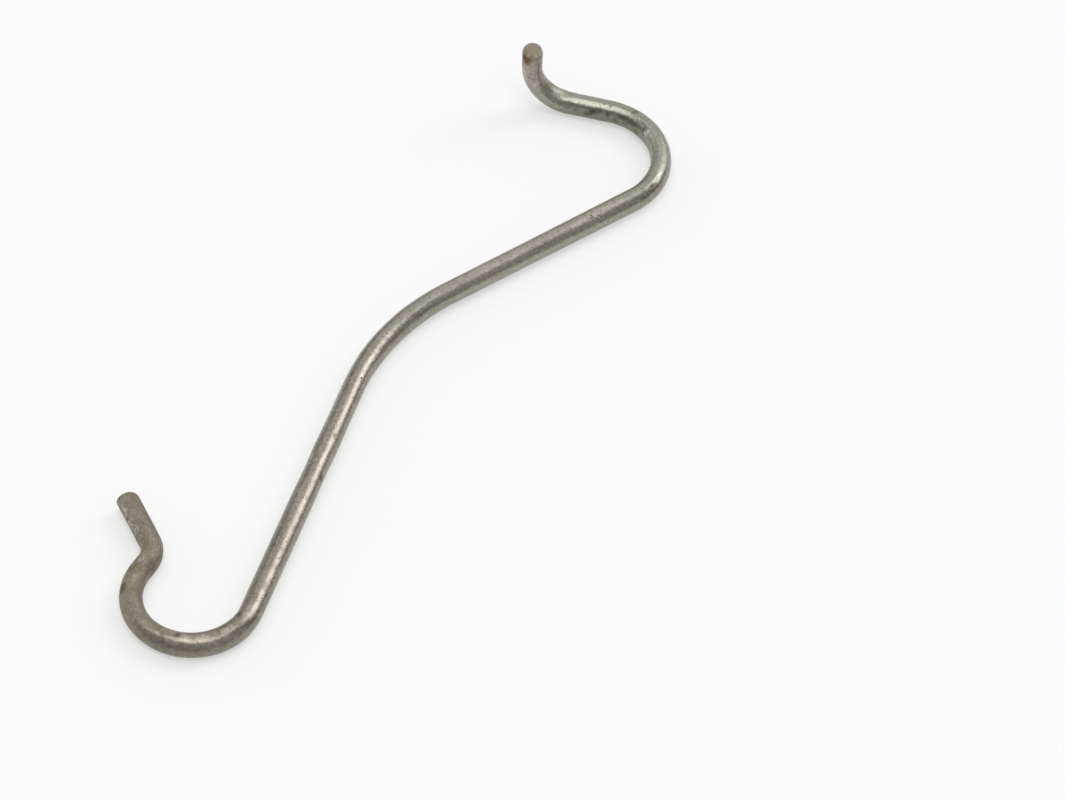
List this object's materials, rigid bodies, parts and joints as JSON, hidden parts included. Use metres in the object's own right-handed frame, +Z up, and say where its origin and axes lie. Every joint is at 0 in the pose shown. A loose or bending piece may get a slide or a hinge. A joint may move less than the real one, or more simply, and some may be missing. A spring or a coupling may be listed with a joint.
{
  "type": "cable hanger hook",
  "caption": "Bent steel wire hook: an open bowl with a kicked-out lip carries the cable, and the crown at the far end finishes in a short pin turned square out of the plane.",
  "frame": {"origin": "on the axis of the bowl, level with the underside of the wire as the hook lies on its side", "axes": "+X along the line of pull from the bowl to the crown, +Z up out of the hook's plane, the way the pin points"},
  "size_m": [0.175, 0.0431, 0.016],
  "materials": {
    "bare_steel": "bare drawn wire, satin and mottled, with dark drawing marks and faint rust"
  },
  "bodies": {
    "root": {"wire_hook": "bare_steel"}
  },
  "joints": []
}
